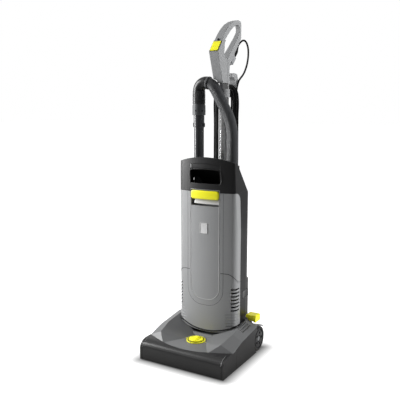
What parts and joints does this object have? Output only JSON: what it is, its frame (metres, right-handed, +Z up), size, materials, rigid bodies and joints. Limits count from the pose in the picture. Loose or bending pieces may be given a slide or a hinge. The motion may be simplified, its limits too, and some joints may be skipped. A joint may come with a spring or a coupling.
{
  "type": "upright vacuum cleaner",
  "caption": "Commercial upright vacuum cleaner with motor-driven brush foot, reclining body, bag door, lift-out wand with hose, D-handle and coiled mains cord on two hooks.",
  "frame": {"origin": "on the floor, under the centre of the machine's bounding box taken without its mains cord", "axes": "+X to the machine's right as seen from behind the handle's user facing forward along -Y, +Y towards its back and +Z up"},
  "size_m": [0.34, 0.4936, 1.22],
  "materials": {
    "black_plastic": "satin",
    "dark_plastic": "matte",
    "grey_plastic": "satin",
    "yellow_plastic": "satin",
    "steel": "brushed",
    "chrome_tube": "polished",
    "aluminium": "satin",
    "rubber": "matte",
    "tyre": "matte",
    "hose_plastic": "satin",
    "cord_rubber": "satin",
    "filter_paper": "matte",
    "card": "matte",
    "bristle": "matte"
  },
  "bodies": {
    "foot": {"front_hood": "black_plastic", "rear_base": "black_plastic", "nozzle_cover": "grey_plastic", "sole_plate": "steel", "dial_ring": "yellow_plastic", "brush_bearings": "dark_plastic", "brush_motor": "steel", "drive_belt": "rubber", "foot_duct": "dark_plastic", "foot_hose": "rubber", "wheel_axles": "steel", "sole_screws": "steel", "pedal_pin": "steel"},
    "knob": {"height_knob": "yellow_plastic"},
    "carriage": {"roller_carriage": "dark_plastic"},
    "roller_left": {"roller_left": "dark_plastic"},
    "roller_right": {"roller_right": "dark_plastic"},
    "brush": {"brush_core": "aluminium", "brush_bristles": "bristle", "brush_pulley": "steel"},
    "rotor": {"motor_pulley": "steel"},
    "wheel_left": {"wheel_tyre_left": "tyre", "wheel_hub_left": "dark_plastic"},
    "wheel_right": {"wheel_tyre_right": "tyre", "wheel_hub_right": "dark_plastic"},
    "upright": {"rear_housing": "black_plastic", "front_shell": "grey_plastic", "motor_cover": "grey_plastic", "top_cap": "black_plastic", "pivot_pins": "steel", "filter_bag": "filter_paper", "bag_collar": "card", "motor_filter": "filter_paper", "suction_motor": "aluminium", "exhaust_filter": "filter_paper", "lower_duct": "dark_plastic", "wand_socket": "dark_plastic", "hose_inlet": "dark_plastic", "handle_tube": "chrome_tube", "tube_screws": "steel", "handle_body": "grey_plastic", "cord_socket": "grey_plastic", "upper_hook": "grey_plastic", "cord_lead": "cord_rubber", "cord_hank": "cord_rubber", "cord_connector": "cord_rubber", "mains_plug": "cord_rubber"},
    "fan": {"suction_fan": "aluminium"},
    "door": {"bag_door": "grey_plastic", "door_seal": "rubber"},
    "latch": {"door_latch": "yellow_plastic"},
    "button": {"switch_button": "yellow_plastic"},
    "hook": {"lower_hook": "grey_plastic"},
    "pedal": {"release_pedal": "yellow_plastic"},
    "wand": {"wand_tube": "dark_plastic", "wand_collar": "dark_plastic", "wand_elbow": "black_plastic", "wand_clips": "dark_plastic", "hose_cuff": "hose_plastic", "hose": "hose_plastic"}
  },
  "joints": [
    {"name": "upright_recline", "type": "hinge", "parent": "foot", "child": "upright", "pos_m": [0, 0.073, 0.078], "axis": [-1, 0, 0], "range_deg": [0, 70]},
    {"name": "brush_spin", "type": "hinge", "parent": "foot", "child": "brush", "pos_m": [0, -0.16, 0.0335], "axis": [1, 0, 0], "continuous": true},
    {"name": "rotor_spin", "type": "hinge", "parent": "foot", "child": "rotor", "pos_m": [0.13, -0.052, 0.037], "axis": [1, 0, 0], "continuous": true},
    {"name": "wheel_left_spin", "type": "hinge", "parent": "foot", "child": "wheel_left", "pos_m": [-0.156, 0.073, 0.046], "axis": [1, 0, 0], "continuous": true},
    {"name": "wheel_right_spin", "type": "hinge", "parent": "foot", "child": "wheel_right", "pos_m": [0.156, 0.073, 0.046], "axis": [1, 0, 0], "continuous": true},
    {"name": "height_turn", "type": "hinge", "parent": "foot", "child": "knob", "pos_m": [0, -0.108, 0.07], "axis": [0, 0, 1], "range_deg": [0, 180]},
    {"name": "carriage_slide", "type": "slide", "parent": "foot", "child": "carriage", "axis": [0, 0, -1], "range_m": [0, 0.01]},
    {"name": "roller_left_spin", "type": "hinge", "parent": "carriage", "child": "roller_left", "pos_m": [-0.046, -0.108, 0.011], "axis": [1, 0, 0], "continuous": true},
    {"name": "roller_right_spin", "type": "hinge", "parent": "carriage", "child": "roller_right", "pos_m": [0.046, -0.108, 0.011], "axis": [1, 0, 0], "continuous": true},
    {"name": "pedal_press", "type": "hinge", "parent": "foot", "child": "pedal", "pos_m": [0.131, 0.059, 0.109], "axis": [-1, 0, 0], "range_deg": [0, 9], "stiffness_Nm_per_rad": 0.5, "springref_deg": -17.19},
    {"name": "door_open", "type": "hinge", "parent": "upright", "child": "door", "pos_m": [0, -0.05, 0.206], "axis": [1, 0, 0], "range_deg": [0, 80]},
    {"name": "latch_pull", "type": "hinge", "parent": "door", "child": "latch", "pos_m": [0, -0.047, 0.604], "axis": [-1, 0, 0], "range_deg": [0, 18], "stiffness_Nm_per_rad": 0.3, "springref_deg": -17.19},
    {"name": "switch_press", "type": "hinge", "parent": "upright", "child": "button", "pos_m": [0, 0.0305, 1.1125], "axis": [1, 0, 0], "range_deg": [-4, 4]},
    {"name": "hook_swivel", "type": "hinge", "parent": "upright", "child": "hook", "pos_m": [0, 0.13, 0.433], "axis": [0, 1, 0], "range_deg": [0, 180]},
    {"name": "fan_spin", "type": "hinge", "parent": "upright", "child": "fan", "pos_m": [0.018, 0.034, 0.24], "axis": [0, 0, 1], "continuous": true},
    {"name": "wand_turn", "type": "hinge", "parent": "upright", "child": "wand", "pos_m": [-0.08, 0.05, 0.5], "axis": [0, 0, -1], "range_deg": [0, 60], "deforming": ["hose"]}
  ],
  "couplings": [
    {"joint": "rotor_spin", "follows": "brush_spin", "ratio": 1.375},
    {"joint": "carriage_slide", "follows": "height_turn", "m_per_rad": 0.00318}
  ]
}
